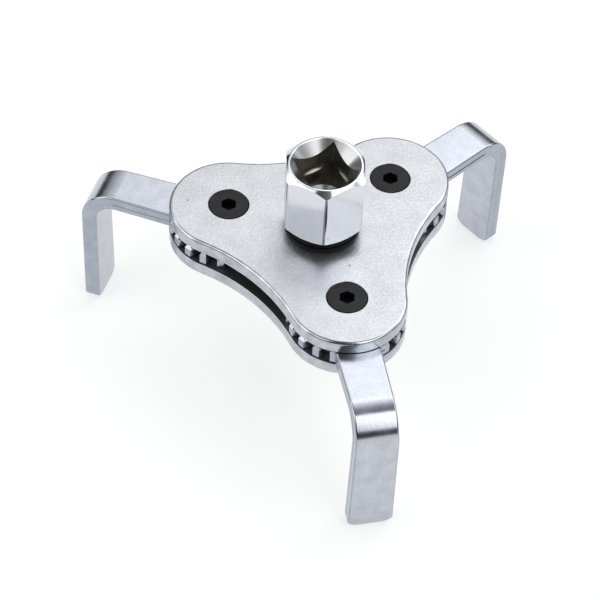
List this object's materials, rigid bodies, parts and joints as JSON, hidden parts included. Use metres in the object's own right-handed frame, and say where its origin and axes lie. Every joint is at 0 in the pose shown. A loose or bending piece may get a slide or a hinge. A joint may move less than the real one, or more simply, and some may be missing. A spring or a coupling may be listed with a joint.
{
  "type": "oil filter wrench",
  "caption": "Self-adjusting oil filter wrench: geared bent arms between two trefoil plates close on the filter when the hexagon drive socket is turned.",
  "frame": {"origin": "centre of the stem's lower end face, on the drive axis", "axes": "+Z along the drive axis, towards the socket's mouth; one lobe of the plates points along -Y, the others 120 degrees either side"},
  "size_m": [0.1238, 0.1091, 0.0718],
  "materials": {
    "satin_plate": "bead-blasted nickel plate, satin",
    "satin_arm": "satin nickel plate with mill marks",
    "polished_chrome": "polished",
    "gear_steel": "machined, lightly oiled",
    "ground_steel": "ground",
    "spring_steel": "black spring steel",
    "zinc_plate": "zinc plated",
    "black_oxide": "black oxide on steel",
    "black_washer": "matt black",
    "black_rubber": "matt black"
  },
  "bodies": {
    "frame": {"top_plate": "satin_plate", "bottom_plate": "satin_plate", "thrust_washer": "black_washer", "stem_washer": "zinc_plate", "pivot_bush_front": "ground_steel", "pivot_screw_front": "black_oxide", "pivot_nut_front": "zinc_plate", "pivot_bush_right": "ground_steel", "pivot_screw_right": "black_oxide", "pivot_nut_right": "zinc_plate", "pivot_bush_left": "ground_steel", "pivot_screw_left": "black_oxide", "pivot_nut_left": "zinc_plate"},
    "drive": {"drive_socket": "polished_chrome", "drive_gear": "gear_steel", "friction_ring": "black_rubber", "retaining_ring": "spring_steel"},
    "front_arm": {"arm_front": "satin_arm"},
    "right_arm": {"arm_right": "satin_arm"},
    "left_arm": {"arm_left": "satin_arm"}
  },
  "joints": [
    {"name": "drive_spin", "type": "hinge", "parent": "frame", "child": "drive", "pos_m": [0, 0, 0], "axis": [0, 0, 1], "range_deg": [-157, 149.5]},
    {"name": "front_arm_swing", "type": "hinge", "parent": "frame", "child": "front_arm", "pos_m": [0, -0.02665, 0], "axis": [0, 0, 1], "range_deg": [-112.2, 117.8]},
    {"name": "right_arm_swing", "type": "hinge", "parent": "frame", "child": "right_arm", "pos_m": [0.02308, 0.01333, 0], "axis": [0, 0, 1], "range_deg": [-112.2, 117.8]},
    {"name": "left_arm_swing", "type": "hinge", "parent": "frame", "child": "left_arm", "pos_m": [-0.02308, 0.01333, 0], "axis": [0, 0, 1], "range_deg": [-112.2, 117.8]}
  ],
  "couplings": [
    {"joint": "front_arm_swing", "follows": "drive_spin", "ratio": -0.75},
    {"joint": "right_arm_swing", "follows": "drive_spin", "ratio": -0.75},
    {"joint": "left_arm_swing", "follows": "drive_spin", "ratio": -0.75}
  ]
}
